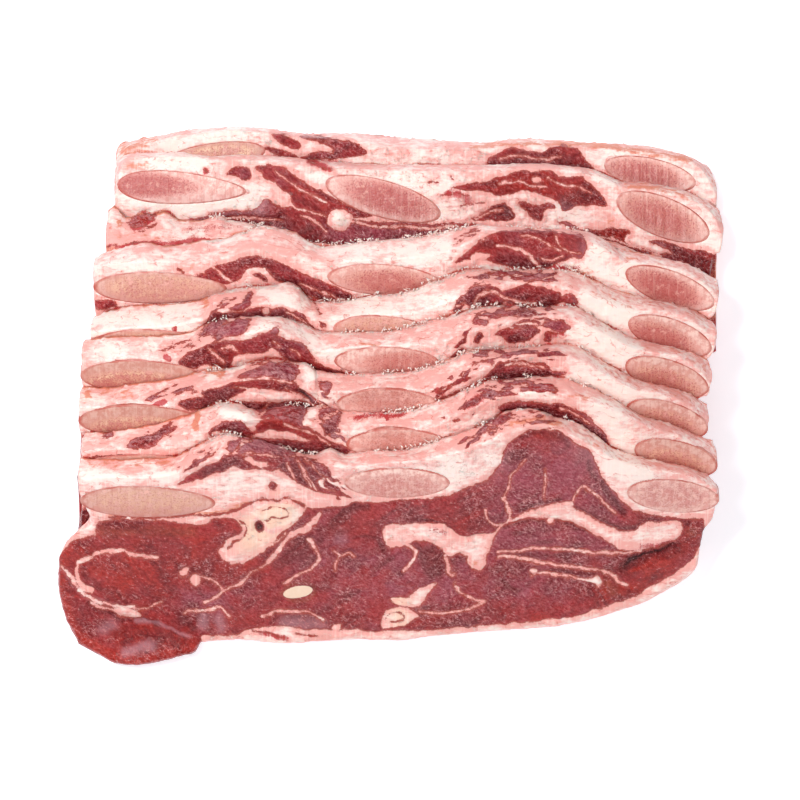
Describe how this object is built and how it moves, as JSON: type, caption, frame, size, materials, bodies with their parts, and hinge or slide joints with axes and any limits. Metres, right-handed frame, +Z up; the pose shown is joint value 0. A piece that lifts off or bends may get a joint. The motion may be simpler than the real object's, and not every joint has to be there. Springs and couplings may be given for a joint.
{
  "type": "flanken-cut beef ribs",
  "caption": "Fanned pile of raw flanken-cut beef rib slices, each a thin sheet of lean and fat with sawn oval rib bones along its top edge.",
  "frame": {"origin": "centre of the pile's box, on the surface it lies on", "axes": "+X across the slices from the left bone to the right bone, +Y to the rear slice, +Z up"},
  "size_m": [0.2408, 0.1934, 0.0614],
  "materials": {
    "meat": "moist raw lean with cream fat seams and a pale pink fat rim",
    "bone": "sawn pinkish tan bone, speckled marrow core, matt",
    "cartilage": "smooth cream ligament, satin"
  },
  "bodies": {
    "root": {"slice_1": "meat", "bone_1_left": "bone", "bone_1_middle": "bone", "bone_1_right": "bone", "slice_2": "meat", "bone_2_left": "bone", "bone_2_middle": "bone", "bone_2_right": "bone", "slice_3": "meat", "bone_3_left": "bone", "bone_3_middle": "bone", "bone_3_right": "bone", "slice_4": "meat", "bone_4_left": "bone", "bone_4_middle": "bone", "bone_4_right": "bone", "slice_5": "meat", "bone_5_left": "bone", "bone_5_middle": "bone", "bone_5_right": "bone", "slice_6": "meat", "bone_6_left": "bone", "bone_6_middle": "bone", "bone_6_right": "bone", "slice_7": "meat", "bone_7_left": "bone", "bone_7_middle": "bone", "bone_7_right": "bone", "slice_8": "meat", "bone_8_left": "bone", "bone_8_middle": "bone", "bone_8_right": "bone", "slice_9": "meat", "bone_9_left": "bone", "bone_9_middle": "bone", "bone_9_right": "bone", "ligament": "cartilage"}
  },
  "joints": []
}
